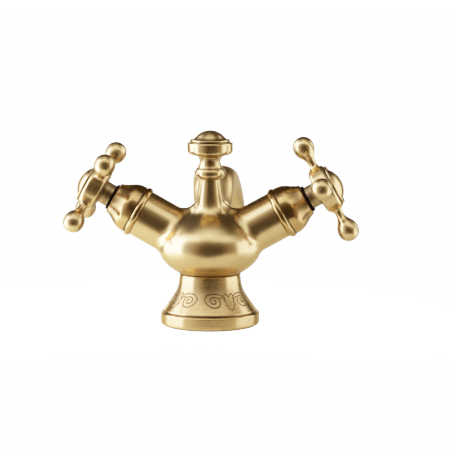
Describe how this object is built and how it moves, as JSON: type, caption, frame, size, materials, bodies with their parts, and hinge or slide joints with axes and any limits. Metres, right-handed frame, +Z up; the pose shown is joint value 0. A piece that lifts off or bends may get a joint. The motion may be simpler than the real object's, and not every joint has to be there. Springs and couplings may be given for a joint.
{
  "type": "cross handle tap",
  "caption": "Two-handle basin mixer tap: cross handles on raised arms, a domed lift knob on a central chimney, a short arched spout and a flared pedestal, in antique brass.",
  "frame": {"origin": "centre of the gasket's underside, where the tap stands on the deck", "axes": "+Z up; the arms lie along X with the hot handle on +X and the cold handle on -X; the spout points to +Y"},
  "size_m": [0.1535, 0.1129, 0.1023],
  "materials": {
    "antique_brass": "brushed antique brass, darker in the grooves",
    "raw_brass": "machined",
    "black_rubber": "matt",
    "black_plastic": "satin",
    "white_plastic": "moulded",
    "ceramic": "lapped",
    "fibre": "pressed fibre",
    "steel": "bright"
  },
  "bodies": {
    "tap_body": {"body_casting": "antique_brass", "inlet_block": "raw_brass", "pedestal": "antique_brass", "base_gasket": "black_rubber", "spout": "antique_brass", "spout_seal": "black_rubber", "spout_grub_screw": "steel", "aerator_housing": "antique_brass", "aerator_insert": "white_plastic", "aerator_washer": "black_rubber", "chimney_ferrule": "antique_brass", "rod_guide_bush": "black_plastic", "rod_seal": "black_rubber", "hot_bell_cap": "antique_brass", "hot_bell_washer": "black_plastic", "hot_headwork_body": "raw_brass", "hot_headwork_gasket": "fibre", "hot_seat_seal": "black_rubber", "hot_fixed_disc": "ceramic", "hot_slip_ring": "black_plastic", "cold_bell_cap": "antique_brass", "cold_bell_washer": "black_plastic", "cold_headwork_body": "raw_brass", "cold_headwork_gasket": "fibre", "cold_seat_seal": "black_rubber", "cold_fixed_disc": "ceramic", "cold_slip_ring": "black_plastic"},
    "hot_turn": {"hot_handle": "antique_brass", "hot_index_button": "antique_brass", "hot_handle_screw": "steel", "hot_spindle": "raw_brass", "hot_spindle_seals": "black_rubber", "hot_spindle_circlip": "steel", "hot_moving_disc": "ceramic"},
    "cold_turn": {"cold_handle": "antique_brass", "cold_index_button": "antique_brass", "cold_handle_screw": "steel", "cold_spindle": "raw_brass", "cold_spindle_seals": "black_rubber", "cold_spindle_circlip": "steel", "cold_moving_disc": "ceramic"},
    "lift": {"lift_rod": "antique_brass", "lift_knob": "antique_brass", "knob_cap": "antique_brass"}
  },
  "joints": [
    {"name": "hot_handle_turn", "type": "hinge", "parent": "tap_body", "child": "hot_turn", "pos_m": [0, 0, 0.0382], "axis": [0.8725, 0, 0.4886], "range_deg": [0, 90]},
    {"name": "cold_handle_turn", "type": "hinge", "parent": "tap_body", "child": "cold_turn", "pos_m": [0, 0, 0.0382], "axis": [-0.8725, 0, 0.4886], "range_deg": [0, 90]},
    {"name": "lift_rod_slide", "type": "slide", "parent": "tap_body", "child": "lift", "axis": [0, 0, 1], "range_m": [0, 0.035]}
  ]
}
